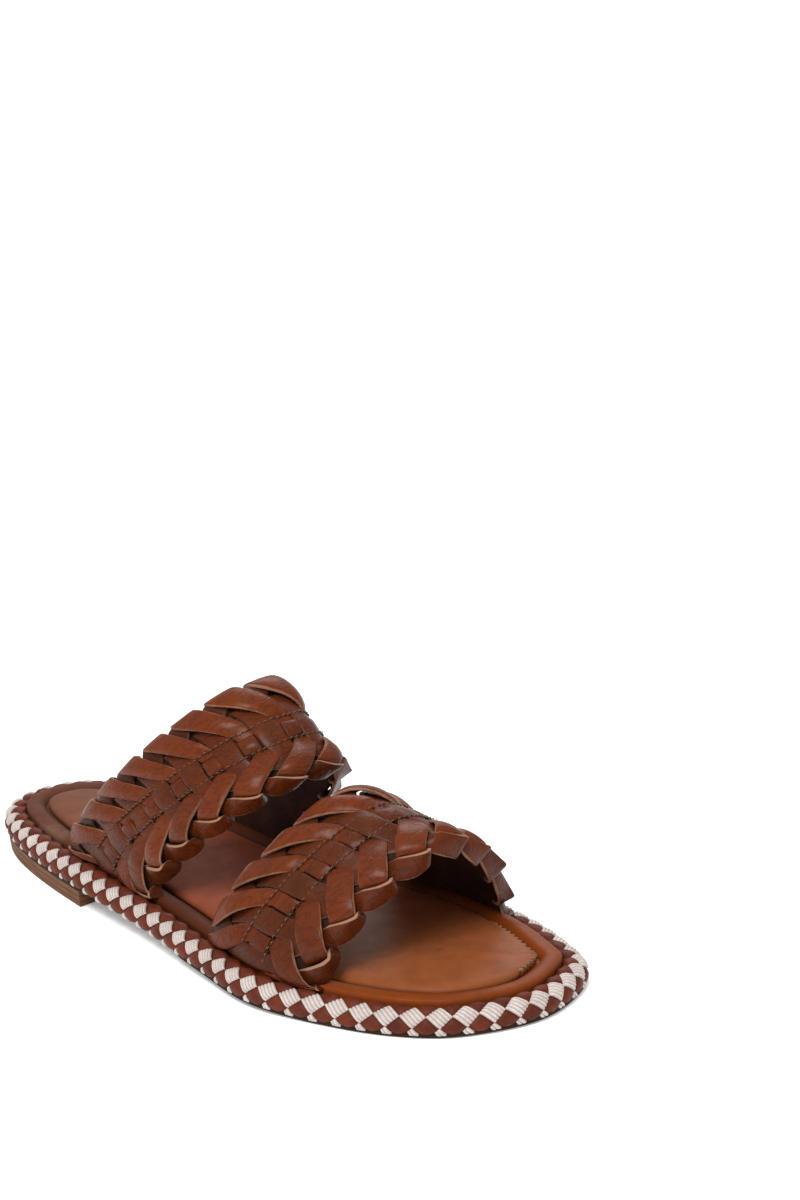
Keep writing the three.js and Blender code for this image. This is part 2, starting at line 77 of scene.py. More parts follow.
class Wire:
    """A socket of a material that adds, subtracts and multiplies like a number."""

    def __init__(self, finish, socket):
        self.finish = finish
        self.socket = socket

    def math(self, operation, *others):
        return self.finish.node("ShaderNodeMath", {"operation": operation}, self, *others)

    def __add__(self, other):
        return self.math("ADD", other)

    __radd__ = __add__

    def __mul__(self, other):
        return self.math("MULTIPLY", other)

    __rmul__ = __mul__

    def __sub__(self, other):
        return self.math("SUBTRACT", other)

    def __rsub__(self, other):
        return self.finish.node("ShaderNodeMath", {"operation": "SUBTRACT"}, other, self)

    def clip(self, low, high):
        """0 below low, 1 above high and smooth between."""
        sockets = {"From Min": low, "From Max": high}
        settings = {"interpolation_type": "SMOOTHSTEP"}
        return self.finish.node("ShaderNodeMapRange", settings, self, **sockets)


class Finish:
    """A material under construction: one shader and the nodes that feed it."""

    def __init__(self, name, roughness=0.5):
        self.material = bpy.data.materials.new(name)
        self.material.use_nodes = True
        self.tree = self.material.node_tree
        self.shader = self.tree.nodes["Principled BSDF"]
        self.shader.inputs["Roughness"].default_value = roughness

    def plug(self, value, socket):
        if isinstance(value, Wire):
            self.tree.links.new(value.socket, socket)
        elif isinstance(value, tuple) and len(value) == 3 and len(socket.default_value) == 4:
            socket.default_value = (*value, 1)
        else:
            socket.default_value = value

    def node(self, kind, settings, *values, out=0, **named):
        """Adds a node, sets it, fills its sockets in order and by name, and gives an output."""
        node = self.tree.nodes.new(kind)
        for key, value in settings.items():
            setattr(node, key, value)
        for position, value in enumerate(values):
            if value is not None:
                self.plug(value, node.inputs[position])
        for key, value in named.items():
            self.plug(value, node.inputs[key])
        return Wire(self, node.outputs[out])

    def place(self, scale=(1, 1, 1)):
        """Object coordinates in metres, scaled."""
        spot = self.node("ShaderNodeTexCoord", {}, out="Object")
        return self.node("ShaderNodeMapping", {}, spot, Scale=scale)

    def along(self, axis):
        """The object coordinate on one axis, in millimetres."""
        spot = self.node("ShaderNodeTexCoord", {}, out="Object")
        return self.node("ShaderNodeSeparateXYZ", {}, spot, out=axis) * (1 / MM)

    def noise(self, place, size, detail=3.0, roughness=0.55):
        """Soft spots of a size in millimetres."""
        values = {"Scale": 1 / (size * MM), "Detail": detail, "Roughness": roughness}
        return self.node("ShaderNodeTexNoise", {}, place, out="Fac", **values)

    def trait(self, name):
        """A value that the mesh carries for each of its points."""
        return self.node("ShaderNodeAttribute", {"attribute_name": name}, out="Fac")

    def mix(self, share, first, second):
        """The first colour where the share is 0 and the second where it is 1."""
        unused = (None,) * 5
        return self.node("ShaderNodeMix", {"data_type": "RGBA"}, share, *unused, first, second, out=2)

    def colour(self, value):
        self.plug(value, self.shader.inputs["Base Color"])

    def roughness(self, value):
        self.plug(value, self.shader.inputs["Roughness"])

    def constant(self, socket, value):
        self.shader.inputs[socket].default_value = value

    def relief(self, height, depth, strength=1.0):
        """Raises the surface by a height of 0 to 1 times a depth in millimetres."""
        bump = self.node("ShaderNodeBump", {}, Height=height, Distance=depth * MM, Strength=strength)
        self.plug(bump, self.shader.inputs["Normal"])


def rgb(code):
    """A web colour as linear values."""
    parts = [int(code[i : i + 2], 16) / 255 for i in (1, 3, 5)]
    return tuple(c / 12.92 if c < 0.04045 else ((c + 0.055) / 1.055) ** 2.4 for c in parts)


FLOOR_SIZE, FLOOR_DROP = 80.0, 0.0002
bpy.ops.mesh.primitive_plane_add(size=FLOOR_SIZE, location=(0, 0, -FLOOR_DROP))
floor = bpy.context.object
floor.name = "floor"
table = Finish("table", 0.9)
table.colour(rgb("#fbfbfb"))
table.constant("Emission Color", (1, 1, 1, 1))
table.constant("Emission Strength", 0.25)
floor.data.materials.append(table.material)


LIGHT_AIM = Vector((0, 0, 0.03))
ROOM_LIGHT = 0.75


def soft_light(name, spot, size, power):
    """A square light of a size in metres, turned to the sandal."""
    data = bpy.data.lights.new(name, "AREA")
    data.size = size
    data.energy = power
    lamp = bpy.data.objects.new(name, data)
    scene.collection.objects.link(lamp)
    lamp.location = spot
    lamp.rotation_euler = (LIGHT_AIM - Vector(spot)).to_track_quat("-Z", "Y").to_euler()


soft_light("window_light", (-0.9, -0.5, 1.5), size=0.8, power=30)
soft_light("back_light", (0.9, 0.9, 1.1), size=0.9, power=9)
world = bpy.data.worlds.new("room")
world.use_nodes = True
world.node_tree.nodes["Background"].inputs["Color"].default_value = (1, 1, 1, 1)
world.node_tree.nodes["Background"].inputs["Strength"].default_value = ROOM_LIGHT
scene.world = world

# The outsole
# One sheet of dark leather cut to the shape of the foot, bent down from the heel to the ball.
LENGTH = 249.2
BALL_WIDTH = 95.9
HEEL_LIFT = 6.0
TOE_SPRING = 0.3
OUTSOLE_THICKNESS = 2.2
OUTSOLE_BEVEL = 0.5
WAIST_BEVEL = 2.6
HEEL_BREAST, WAIST_END, SHANK_END, SPRING_START = 0.303, 0.56, 0.8, 0.9
CENTRE = np.array((1.5397, 0.5212))
OUTLINE_STEPS = 60
EDGE_POINTS = 1440
# along, lateral, medial: shares of the length from the heel and of the ball's width
OUTLINE = (
    (0.005, 0.0, 0.0),
    (0.025, 0.15, 0.17),
    (0.08, 0.247, 0.274),
    (0.18, 0.324, 0.340),
    (0.32, 0.388, 0.338),
    (0.46, 0.425, 0.343),
    (0.6, 0.481, 0.425),
    (0.71, 0.515, 0.480),
    (0.81, 0.453, 0.469),
    (0.9, 0.359, 0.406),
    (0.965, 0.212, 0.311),
    (1.0, -0.046, 0.046),
)


def along_y(share):
    """The place along the sandal of a share of its length from the heel."""
    return LENGTH * (0.5 - share) + CENTRE[1]


def sole_outline():
    """Even points round the edge of the sole, from the heel along the outer side to the toe."""
    outer = [(CENTRE[0] - lateral * BALL_WIDTH, along_y(along)) for along, lateral, medial in OUTLINE]
    inner = [(CENTRE[0] + medial * BALL_WIDTH, along_y(along)) for along, lateral, medial in OUTLINE]
    corners = np.array(outer + inner[-2:0:-1])
    before, after, beyond = np.roll(corners, 1, 0), np.roll(corners, -1, 0), np.roll(corners, -2, 0)
    t = np.linspace(0, 1, OUTLINE_STEPS, endpoint=False)[None, :, None]
    a, b, c, d = (row[:, None, :] for row in (before, corners, after, beyond))
    curve = 0.5 * (2 * b + (c - a) * t + (2 * a - 5 * b + 4 * c - d) * t**2 + (3 * b - a - 3 * c + d) * t**3)
    curve = curve.reshape(-1, 2)
    closed = np.vstack((curve, curve[:1]))
    steps = np.r_[0, np.cumsum(np.linalg.norm(np.diff(closed, axis=0), axis=1))]
    even = np.linspace(0, steps[-1], EDGE_POINTS, endpoint=False)
    return np.column_stack([np.interp(even, steps, closed[:, k]) for k in (0, 1)]), steps[-1]


EDGE, EDGE_LENGTH = sole_outline()


def outward_of(curve):
    """The directions out of a closed curve, square to it."""
    way = np.roll(curve, -1, 0) - np.roll(curve, 1, 0)
    way /= np.linalg.norm(way, axis=1)[:, None]
    return np.column_stack((way[:, 1], -way[:, 0]))


EDGE_OUT = outward_of(EDGE)


def under(y):
    """The height of the sole's underside above the floor."""
    along = 0.5 - (y - CENTRE[1]) / LENGTH
    shank = np.clip((along - HEEL_BREAST) / (SHANK_END - HEEL_BREAST), 0, 1)
    spring = np.clip((along - SPRING_START) / (1 - SPRING_START), 0, 1)
    return HEEL_LIFT * (1 - shank) + TOE_SPRING * spring**2


def waist_inset(y):
    """How far the sole's edge is cut under at the waist, between the heel and the ball."""
    along = 0.5 - (y - CENTRE[1]) / LENGTH
    share = np.clip((along - HEEL_BREAST) / (WAIST_END - HEEL_BREAST), 0, 1)
    bulge = np.clip(4 * share * (1 - share), 0, 1)
    return WAIST_BEVEL * bulge * bulge * (3 - 2 * bulge)


RING_POINTS = 360


def ring(inset, height, points=RING_POINTS, waist=0.0):
    """Points round the sole, moved in from its edge, at a height above its underside."""
    step = EDGE_POINTS // points
    inset = np.broadcast_to(inset, (EDGE_POINTS,)) + waist * waist_inset(EDGE[:, 1])
    flat = (EDGE - EDGE_OUT * inset[:, None])[::step]
    return np.column_stack((flat, under(flat[:, 1]) + height))


MERGE_DISTANCE = 1e-6


def mesh_piece(name, points, faces, finish, slot, **traits):
    """An object of millimetre points, in metres, with its finish and what its material reads."""
    mesh = bpy.data.meshes.new(name)
    mesh.from_pydata((np.asarray(points) * MM).tolist(), [], faces)
    for trait, values in traits.items():
        layer = mesh.attributes.new(trait, "FLOAT", "POINT")
        layer.data.foreach_set("value", np.asarray(values, dtype=np.float32))
    mesh.validate()
    mesh.materials.append(finish.material)
    piece = bpy.data.objects.new(name, mesh)
    scene.collection.objects.link(piece)
    bpy.ops.object.select_all(action="DESELECT")
    piece.select_set(True)
    bpy.context.view_layer.objects.active = piece
    bpy.ops.object.mode_set(mode="EDIT")
    bpy.ops.mesh.select_all(action="SELECT")
    bpy.ops.mesh.remove_doubles(threshold=MERGE_DISTANCE)
    bpy.ops.mesh.normals_make_consistent(inside=False)
    bpy.ops.object.mode_set(mode="OBJECT")
    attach(piece, "root")
    return piece


def band_faces(first, count, rows):
    """Quads between rows of a closed ring, from the point number first on."""
    faces = []
    for row in range(rows - 1):
        for k in range(count):
            a, b = first + row * count + k, first + row * count + (k + 1) % count
            faces.append((a, b, b + count, a + count))
    return faces


def tube_faces(first, count, rows):
    """The faces of a closed tube: its band and a cap on each end."""
    last = first + count * (rows - 1)
    caps = [tuple(first + k for k in range(count)), tuple(last + k for k in reversed(range(count)))]
    return band_faces(first, count, rows) + caps


# the fill goes a little past the middle line, so that its two sides overlap there
FILL_MEET = 1.012


def spine(points, margin):
    """For each ring point, the point on the sole's middle line that lies across from it."""
    y = points[:, 1]
    held = np.clip(y, y.min() + margin, y.max() - margin)
    half = len(points) // 2
    sides = []
    for side_points in (points[: half + 1], points[half:]):
        order = np.argsort(side_points[:, 1])
        sides.append(np.interp(held, side_points[order, 1], side_points[order, 0]))
    return np.column_stack(((sides[0] + sides[1]) / 2, held))


def filled(edge_row, steps, margin, crown=0.0):
    """Rows from a ring in to the middle line, that keep its height and rise by the crown."""
    middle = spine(edge_row, margin)
    rows = []
    for k in steps:
        row = edge_row * [1 - k, 1 - k, 0] + np.column_stack((middle * k, edge_row[:, 2]))
        row[:, 2] = under(row[:, 1]) + (edge_row[:, 2] - under(edge_row[:, 1]))
        row[:, 2] += crown * (1 - (1 - min(k, 1)) ** 2)
        rows.append(row)
    return rows


def rings_piece(name, rings, finish, slot, fill=(0.5,), crown=0.0, margin=26, smooth=50):
    """A closed piece from rings, filled to its middle line below and, with a crown, above."""
    steps = (*fill, FILL_MEET)
    lower = filled(rings[0], steps, margin)
    rows = lower[::-1] + list(rings) + filled(rings[-1], steps, margin, crown)
    count = len(rings[0])
    piece = mesh_piece(name, np.vstack(rows), band_faces(0, count, len(rows)), finish, slot)
    bpy.ops.object.shade_smooth_by_angle(angle=math.radians(smooth))
    return piece


outsole_finish = Finish("dark_sole_leather", 0.6)
grain = outsole_finish.noise(outsole_finish.place(), 1.2, 4)
patch = outsole_finish.noise(outsole_finish.place(), 14)
worn = (grain * 0.5 + patch * 0.7 - 0.2).clip(0, 1)
outsole_finish.colour(outsole_finish.mix(worn, rgb("#1d120c"), rgb("#3a2417")))
outsole_finish.roughness(0.6 + patch * 0.3)
outsole_finish.constant("Specular IOR Level", 0.1)
outsole_finish.relief(grain, 0.15)
outsole = rings_piece(
    "outsole_leather",
    [
        ring(OUTSOLE_BEVEL, 0, waist=1),
        ring(OUTSOLE_BEVEL * 0.3, OUTSOLE_BEVEL * 0.4, waist=1),
        ring(0, OUTSOLE_BEVEL, waist=1),
        ring(0, OUTSOLE_THICKNESS * 0.5, waist=1),
        ring(0.1, OUTSOLE_THICKNESS, waist=1),
    ],
    outsole_finish,
    "sole_leather",
)
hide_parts("outsole")

# The heel
# Three lifts of tan leather board, glued and trimmed together, with a straight breast.
HEEL_INSET, HEEL_TAPER, HEEL_TOP = 0.4, 0.6, 5.7
HEEL_MIDDLE = (CENTRE[0], 95)
GLUE_LINES, GLUE_WIDTH = (1.85, 3.85), 0.35
BACK_POINTS, BREAST_POINTS, CLOSE_POINTS = 140, 40, 3
# share of the taper, height
HEEL_ROWS = (
    (1.0, 0.0),
    (0.72, 0.5),
    (0.5, 1.75),
    (0.62, 1.9),
    (0.4, 2.1),
    (0.2, 3.7),
    (0.34, 3.85),
    (0.1, 4.05),
    (0.0, HEEL_TOP),
)


def heel_row(taper, height):
    """Points round the heel at a height, behind its breast."""
    breast = along_y(HEEL_BREAST) + HEEL_INSET + taper * 0.5
    flat = ring(HEEL_INSET + HEEL_TAPER * taper, 0)[:, :2]
    back_part = flat[flat[:, 1] > breast]
    order = np.argsort(np.unwrap(np.arctan2(back_part[:, 1] - breast, back_part[:, 0] - CENTRE[0])))
    outer = back_part[order]
    closed = np.vstack((outer, [[outer[-1, 0], breast], [outer[0, 0], breast], outer[0]]))
    steps = np.r_[0, np.cumsum(np.linalg.norm(np.diff(closed, axis=0), axis=1))]
    corners = (0, steps[len(outer)], steps[len(outer) + 1], steps[-1])
    counts = (BACK_POINTS, BREAST_POINTS, CLOSE_POINTS)
    spots = np.concatenate(
        [np.linspace(corners[k], corners[k + 1], counts[k], endpoint=False) for k in range(3)]
    )
    row = np.column_stack([np.interp(spots, steps, closed[:, k]) for k in (0, 1)])
    return np.column_stack((row, np.full(len(row), height)))


heel_finish = Finish("stacked_heel_leather", 0.62)
streak = heel_finish.noise(heel_finish.place(scale=(1, 1, 9)), 9, 4)
fibre = heel_finish.noise(heel_finish.place(scale=(1, 1, 4)), 1.6, 5)
glue = sum((heel_finish.along(2) - line).math("ABSOLUTE").clip(GLUE_WIDTH, 0.0) for line in GLUE_LINES)
board = heel_finish.mix((streak * 0.9 + fibre * 0.5 - 0.25).clip(0, 1), rgb("#4e3120"), rgb("#7a5236"))
heel_finish.colour(heel_finish.mix(glue.clip(0, 1) * 0.55, board, rgb("#33210f")))
heel_finish.roughness(0.6 + fibre * 0.25)
heel_finish.constant("Specular IOR Level", 0.15)
heel_finish.relief(fibre, 0.2)
rows = [heel_row(taper, height) for taper, height in HEEL_ROWS]
count = len(rows[0])
points = np.vstack(rows + [[[*HEEL_MIDDLE, 0]], [[*HEEL_MIDDLE, HEEL_TOP]]])
faces = band_faces(0, count, len(rows))
low_centre, high_centre = len(points) - 2, len(points) - 1
start = count * (len(rows) - 1)
faces += [(k, (k + 1) % count, low_centre) for k in range(count)]
faces += [(start + k, start + (k + 1) % count, high_centre) for k in range(count)]
heel = mesh_piece("heel_lifts", points, faces, heel_finish, "heel_stack")
bpy.ops.object.shade_smooth_by_angle(angle=math.radians(35))
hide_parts("heel")

# The insole
# A leather covered board whose border is padded and turned over the edge, with the straps let in.
TRIM_WIDTH, TRIM_PROUD, CLEARANCE = 7.0, 0.3, 0.3
TRIM_BOTTOM = OUTSOLE_THICKNESS + CLEARANCE
TRIM_INNER = TRIM_WIDTH - TRIM_PROUD
INSOLE_EDGE = TRIM_INNER + CLEARANCE
RIM_WIDTH, RIM_HEIGHT, RIM_SHOULDER, INSOLE_FLOOR = 6.8, 7.0, 5.7, 4.3
# share of the border's width, height
RIM_ROWS = (
    (0.0, 0.0),
    (0.0, RIM_SHOULDER * 0.85),
    (0.03, RIM_SHOULDER + 0.35),
    (0.1, RIM_SHOULDER + 0.75),
    (0.22, RIM_HEIGHT - 0.3),
    (0.4, RIM_HEIGHT),
    (0.6, RIM_HEIGHT - 0.12),
    (0.8, RIM_HEIGHT - 0.7),
    (0.92, RIM_HEIGHT - 1.6),
    (1.0, INSOLE_FLOOR),
)
# from and to, along the sandal in millimetres, with the toe at the low end
WAIST_COLOUR_SPAN, HEEL_COLOUR_SPAN, DUST_SPAN, DULL_SPAN = (-72, -28), (52, 92), (60, 95), (-60, 10)
COLOUR_DRIFT = 24


def lining_finish(name, heel_colour, waist_colour, toe_colour):
    """Oiled brown leather, orange at the toe, with its waist colour and a dull finish under the straps, and
    dusty at the heel.
    """
    finish = Finish(name, 0.42)
    spot = finish.place()
    cloud = finish.noise(spot, 32, 3)
    mottle = finish.noise(spot, 6, 4)
    pores = finish.noise(spot, 0.9, 3)
    length = finish.along(1) + (cloud - 0.5) * COLOUR_DRIFT
    base = finish.mix(length.clip(*WAIST_COLOUR_SPAN), toe_colour, waist_colour)
    base = finish.mix(length.clip(*HEEL_COLOUR_SPAN), base, heel_colour)
    dust = cloud.clip(0.48, 0.62) * mottle.clip(0.35, 0.6) * length.clip(*DUST_SPAN)
    base = finish.mix(dust * 0.4, base, rgb("#9c7a66"))
    oil = (mottle * 0.8 + cloud * 0.5 - 0.3).clip(0.05, 0.85) * 0.45
    finish.colour(finish.mix(oil, base, rgb("#3c1b10")))
    finish.roughness(0.36 + mottle * 0.2 + length.clip(*DULL_SPAN) * 0.22)
    finish.relief(pores * 0.4 + mottle * 0.8, 0.22, 0.7)
    finish.constant("Specular IOR Level", 0.08)
    return finish


# the border's dark waist colour is painted shade of the straps that stand over it
insole_finish = lining_finish("border_leather", rgb("#553022"), rgb("#451e0c"), rgb("#74340d"))
insole = rings_piece(
    "insole_board",
    [ring(INSOLE_EDGE + RIM_WIDTH * share, TRIM_BOTTOM + height) for share, height in RIM_ROWS],
    insole_finish,
    "lining_leather",
    smooth=60,
)
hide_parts("insole")

# The footbed
# A foam pad in the same leather, rolled at its edge, with a pinked and raw edge beside the toe.
PAD_MARGIN, PAD_CROWN = 0.8, 0.72
PAD_BOTTOM = TRIM_BOTTOM + INSOLE_FLOOR + CLEARANCE
PAD_INSET = INSOLE_EDGE + RIM_WIDTH + PAD_MARGIN
SCALLOP, SCALLOP_REPEAT, SCALLOP_REACH = 1.1, 3.1, 3
# where the pinking starts and ends, past the toe on the inner side, as shares of the whole edge
PINKED_FROM, PINKED_TO, PINKED_FADE_IN, PINKED_FADE_OUT = 0.01, 0.13, 0.01, 0.02
# inset, height and height round the toe, where the edge is cut sharp
PAD_ROWS = (
    (0.3, 0.0, 0.0),
    (0.0, 0.5, 0.9),
    (0.0, 1.2, 1.9),
    (0.25, 1.75, 2.4),
    (0.8, 2.2, 2.55),
    (1.7, 2.55, 2.65),
    (3.0, 2.8, 2.85),
    (5.0, 3.05, 3.05),
    (8.0, 3.35, 3.35),
)
# inset and height of the corners of the raw edge that the pinking leaves
CUT_EDGE = ((-0.12, 1.5), (-0.12, 2.25), (0.3, 2.52), (0.4, 1.5))
edge_share = np.arange(EDGE_POINTS) / EDGE_POINTS
toe_share = edge_share[np.argmin(EDGE[:, 1])]
fade_in = np.clip((edge_share - toe_share - PINKED_FROM) / PINKED_FADE_IN, 0, 1)
fade_out = np.clip((toe_share + PINKED_TO - edge_share) / PINKED_FADE_OUT, 0, 1)
scalloped = fade_in * fade_out
waves = np.abs(np.sin(np.pi * edge_share * EDGE_LENGTH / SCALLOP_REPEAT)) * scalloped * SCALLOP
footbed_finish = lining_finish("footbed_leather", rgb("#67402f"), rgb("#80402a"), rgb("#864a28"))
footbed = rings_piece(
    "footbed_pad",
    [
        ring(
            PAD_INSET + inset + waves * max(0, 1 - inset / SCALLOP_REACH),
            PAD_BOTTOM + height + (sharp - height) * scalloped,
            EDGE_POINTS,
        )
        for inset, height, sharp in PAD_ROWS
    ],
    footbed_finish,
    "lining_leather",
    fill=(0.2, 0.4, 0.6, 0.8),
    crown=PAD_CROWN,
    margin=20,
    smooth=60,
)
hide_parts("footbed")
raw_finish = Finish("pad_cut_edge", 0.8)
fluff = raw_finish.noise(raw_finish.place(), 1.6, 3)
raw_finish.colour(raw_finish.mix(fluff, rgb("#5c3521"), rgb("#9c6e50")))
raw_finish.relief(fluff, 0.15)
pinked = np.flatnonzero(scalloped > 0.5)
raw_rows = [
    ring(PAD_INSET + inset + waves, PAD_BOTTOM + height, EDGE_POINTS)[pinked]
    for inset, height in CUT_EDGE
]
raw_points = np.stack(raw_rows, 1).reshape(-1, 3)
raw_faces = tube_faces(0, len(CUT_EDGE), len(pinked))
mesh_piece("footbed_cut_edge", raw_points, raw_faces, raw_finish, "lining_leather")
bpy.ops.object.shade_smooth_by_angle(angle=math.radians(40))

# The edge braid
# Cream strips of flat threads and smooth brown strips, plaited together and sewn along the edge.
CREAM_THREADS = 5
BRAID_REPEAT, BRAID_STEP, BRAID_TOP = 8.2, 3.6, 2.3
BRAID_REPEATS = round(EDGE_LENGTH / BRAID_REPEAT)
DIAMOND_OVERLAP, CREAM_SLACK = 1.04, 0.16
SLACK_START, SLACK_FADE = -75, 40
END_MARGIN, END_FADE = 0.3, 1.2
SLOPE_REACH = 0.5
RIB_POWER, RIB_HEIGHT, RIB_DEPTH, GROOVE_POWER = 0.6, 0.46, 0.14, 1.5
CREAM_BASE, CREAM_RISE, BROWN_BASE, BROWN_RISE = -0.3, 0.95, -0.35, 0.9
CORE_SCALE = 0.93
# across and up from the braid's lower inner corner, in millimetres
BRAID_SECTION = np.array(
    (
        (0.0, 4.4),
        (0.9, 4.95),
        (2.4, 5.15),
        (3.9, 4.75),
        (5.3, 3.85),
        (6.3, 2.65),
        (6.8, 1.4),
        (6.9, 0.3),
        (6.75, -0.7),
        (6.2, -1.4),
        (5.2, -1.5),
    )
)
section_steps = np.r_[0, np.cumsum(np.linalg.norm(np.diff(BRAID_SECTION, axis=0), axis=1))]
SECTION_LENGTH = section_steps[-1]


def section_spot(down):
    """Across and up, at a length down the braid's section."""
    return [np.interp(down, section_steps, BRAID_SECTION[:, k]) for k in (0, 1)]


def braid_point(along, down, rise):
    """A point of the braid: along the edge in repeats, down its section in mm, raised in mm."""
    index = np.mod(along / BRAID_REPEATS, 1) * EDGE_POINTS
    low = np.floor(index).astype(int)
    share = (index - low)[..., None]
    spot = EDGE[low % EDGE_POINTS] * (1 - share) + EDGE[(low + 1) % EDGE_POINTS] * share
    out = EDGE_OUT[low % EDGE_POINTS] * (1 - share) + EDGE_OUT[(low + 1) % EDGE_POINTS] * share
    across, up = section_spot(down)
    ahead, behind = section_spot(down + SLOPE_REACH), section_spot(down - SLOPE_REACH)
    way = np.stack((ahead[0] - behind[0], ahead[1] - behind[1]), -1)
    way /= np.linalg.norm(way, axis=-1, keepdims=True) + 1e-9
    across = across - way[..., 1] * rise - TRIM_INNER
    up = up + way[..., 0] * rise
    flat = spot + out * across[..., None]
    return np.concatenate((flat, (under(flat[..., 1]) + TRIM_BOTTOM + up)[..., None]), -1)


def braid_patches(row_numbers, steps_p, steps_q, profile, tilt, slack):
    """One raised diamond for each repeat of each row: p runs along its strip and q across it.

    Behind the toe the diamonds are smaller by the slack.
    """
    points, faces = [], []
    p, q = np.meshgrid(np.linspace(-1, 1, steps_p), np.linspace(-1, 1, steps_q), indexing="ij")
    rise = profile(p, q)
    for number in row_numbers:
        for k in range(BRAID_REPEATS):
            centre = k + (number % 2) / 2
            y = EDGE[int(centre / BRAID_REPEATS * EDGE_POINTS) % EDGE_POINTS, 1]
            behind_toe = np.clip((y - SLACK_START) / SLACK_FADE, 0, 1)
            size = DIAMOND_OVERLAP - slack * behind_toe
            along = centre + (p + q) / 4 * size
            down = BRAID_TOP + number * BRAID_STEP + tilt * (p - q) / 2 * BRAID_STEP * size
            fade = np.clip((SECTION_LENGTH - END_MARGIN - down) / END_FADE, 0, 1)
            down = np.clip(down, 0, SECTION_LENGTH)
            first = len(points) * p.size
            points.append(braid_point(along, down, rise * fade).reshape(-1, 3))
            for i in range(steps_p - 1):
                for j in range(steps_q - 1):
                    a = first + i * steps_q + j
                    faces.append((a, a + 1, a + steps_q + 1, a + steps_q))
    return np.vstack(points), faces


def cream_profile(p, q):
    """A low cushion with one rib for each of the threads that lie side by side."""
    ribs = np.abs(np.sin(np.pi * CREAM_THREADS / 2 * (q + 1))) ** RIB_POWER * RIB_HEIGHT - RIB_DEPTH
    return CREAM_BASE + CREAM_RISE * (1 - np.abs(p) ** 4) * (1 - 0.5 * np.abs(q) ** 5) + ribs


def brown_profile(p, q):
    """A smooth low cushion."""
    return BROWN_BASE + BROWN_RISE * (1 - np.abs(p) ** 4) * (1 - np.abs(q) ** 4)


cream_finish = Finish("cream_strips", 0.75)
fuzz = cream_finish.noise(cream_finish.place(), 0.8, 4)
stain = cream_finish.noise(cream_finish.place(), 9, 3)
cream = cream_finish.mix((stain * 1.2 - 0.25).clip(0, 1), rgb("#b5aaa4"), rgb("#d2c8c2"))
cream = cream_finish.mix(fuzz.clip(0.35, 0.7) * 0.35, cream, rgb("#8f8078"))
# painted shade: the grooves between the cream threads are darkened
cream_finish.colour(cream_finish.mix(cream_finish.trait("groove") * 0.6, cream, rgb("#77675c")))
cream_finish.relief(fuzz, 0.12)
brown_finish = Finish("brown_strips", 0.5)
pores = brown_finish.noise(brown_finish.place(), 1.1, 4)
stain = brown_finish.noise(brown_finish.place(), 10, 3)
brown = brown_finish.mix((stain * 1.3 - 0.3).clip(0, 1), rgb("#48190a"), rgb("#732f15"))
brown_finish.colour(brown_finish.mix(pores.clip(0.3, 0.75) * 0.4, brown, rgb("#34150a")))
brown_finish.roughness(0.45 + pores * 0.25)
brown_finish.constant("Specular IOR Level", 0.15)
brown_finish.relief(pores, 0.15)
rib_points = CREAM_THREADS * 4 + 1
points, faces = braid_patches((1, 3), 7, rib_points, cream_profile, 1, CREAM_SLACK)
# painted shade mask: 1 in the grooves between the threads, where they are darkened
groove = 1 - np.abs(np.sin(np.linspace(0, np.pi * CREAM_THREADS, rib_points)))
groove = np.tile(groove**GROOVE_POWER, len(points) // rib_points)
mesh_piece("pale_braid_strips", points, faces, cream_finish, "braid_leather", groove=groove)
bpy.ops.object.shade_smooth()
points, faces = braid_patches((0, 2), 9, 9, brown_profile, -1, 0.0)
mesh_piece("brown_braid_strips", points, faces, brown_finish, "braid_leather")
bpy.ops.object.shade_smooth()
core_corners = [*(BRAID_SECTION * CORE_SCALE), (0.0, 0.0)]
core_rows = [ring(TRIM_INNER - across, TRIM_BOTTOM + up) for across, up in core_corners]
core_rows.append(core_rows[0])
faces = band_faces(0, RING_POINTS, len(core_rows))
braid_core = mesh_piece("braid_core", np.vstack(core_rows), faces, brown_finish, "braid_leather")
bpy.ops.object.shade_smooth_by_angle(angle=math.radians(50))
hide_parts("edge_braid")

# The straps
# Each is a leather wall let into the slots of the insole, with cut strips woven round it: they
# pass out over each side, fold at the strap's edge and come back under the next strip.
STRAP_WIDTH, STRAP_WALL, WALL_MARGIN, WEAVE_SHIFT, STRAND_PITCH = 38, 2.2, 1.6, 1.85, 13.4
LEAN_START = 12
STRAP_FOOT = TRIM_BOTTOM + RIM_SHOULDER
SLOT_DEPTH = RIM_SHOULDER
SLOT_REACH = 60.0
FOOT_CURVE = EDGE - EDGE_OUT * (INSOLE_EDGE + STRAP_WALL / 2)
ARC_POINTS, ARC_END = 361, 0.001
STRIP_THICKNESS = 1.2
RIPPLES, RIPPLE_HEIGHT, RIPPLE_SIDE = 1.6, 0.14, 0.16
# how much the strips differ: place along and across, height, tilt, shade and tint
VARY_ALONG, VARY_ACROSS, VARY_HEIGHT, VARY_TILT, VARY_SHADE, VARY_TINT = 0.22, 0.25, 0.22, 0.12, 0.07, 0.2
# where the strips go into the slots: how softly they end, how flat they lie and over what length
FOOT_GIVE, FOOT_PRESS, PRESS_LENGTH, PRESS_POWER = 1.6, 0.6, 13, 0.7
# foot along the sole, share of the height, lean to the toe: for the heel edge, middle and toe edge
REAR_STRAP = dict(
    rows=((0.244, 1.2, 1.15), (0.350, 1.0, 1.26), (0.452, 0.81, 1.18)),
    height=52.3,
    shift=5.5,
    powers=(2.23, 2.89),
)
FRONT_STRAP = dict(
    rows=((0.598, 1.04, 0.64), (0.701, 1.0, 0.55), (0.790, 0.88, 0.47)),
    height=40,
    shift=0.8,
    powers=(1.48, 1.58),
)


